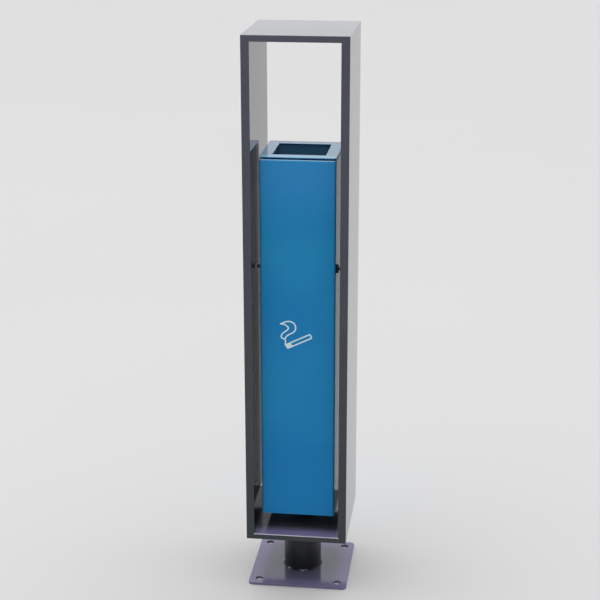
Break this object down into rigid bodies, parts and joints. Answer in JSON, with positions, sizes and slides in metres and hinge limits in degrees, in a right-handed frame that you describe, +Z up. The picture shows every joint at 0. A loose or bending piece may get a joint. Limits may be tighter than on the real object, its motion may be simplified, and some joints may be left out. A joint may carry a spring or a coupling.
{
  "type": "ashtray bin",
  "caption": "Slim square ashtray bin that tips on side pivots inside a tall portal frame, on a short round post and a bolt-down ground plate.",
  "frame": {"origin": "on the ground at the centre of the footprint", "axes": "+Z up, the bin's front faces -Y, +X to the right seen from the front"},
  "size_m": [0.2, 0.225, 1.115],
  "materials": {
    "frame_paint": "gloss anthracite powder coat with a slight violet cast",
    "weld_paint": "weld bead under the same gloss powder coat",
    "bin_paint": "satin metallic blue powder coat",
    "black_steel": "black oxide steel fastener",
    "zinc_steel": "zinc plated",
    "bare_steel": "plain mill steel, inside the closed bottom bar",
    "black_nylon": "black nylon",
    "black_rubber": "black rubber",
    "white_film": "white vinyl film"
  },
  "bodies": {
    "frame": {"base_plate": "frame_paint", "post_tube": "frame_paint", "post_welds": "weld_paint", "post_backing_plate": "bare_steel", "bottom_bar_channel": "frame_paint", "bottom_bar_cover": "frame_paint", "left_upright_channel": "frame_paint", "left_upright_cover": "frame_paint", "right_upright_channel": "frame_paint", "right_upright_cover": "frame_paint", "top_bar_channel": "frame_paint", "top_bar_cover": "frame_paint", "pivot_bolts": "black_steel", "pivot_washers": "zinc_steel", "pivot_inserts": "zinc_steel", "stop_bracket": "frame_paint", "stop_pad": "black_rubber"},
    "bin": {"bin_wrap": "bin_paint", "bin_back_panel": "bin_paint", "bin_bottom_pan": "bin_paint", "bin_rim": "bin_paint", "pivot_doublers": "bin_paint", "pivot_bushes": "black_nylon", "stop_tab": "bin_paint", "smoking_symbol": "white_film"},
    "lid": {"lid_plate": "bin_paint", "lid_skirt": "bin_paint", "lid_pads": "black_rubber"}
  },
  "joints": [
    {"name": "bin_tip", "type": "hinge", "parent": "frame", "child": "bin", "pos_m": [0, -0.05, 0.6635], "axis": [1, 0, 0], "range_deg": [0, 140]},
    {"name": "lid_lift", "type": "slide", "parent": "bin", "child": "lid", "axis": [0, 0, 1], "range_m": [0, 0.15]}
  ]
}
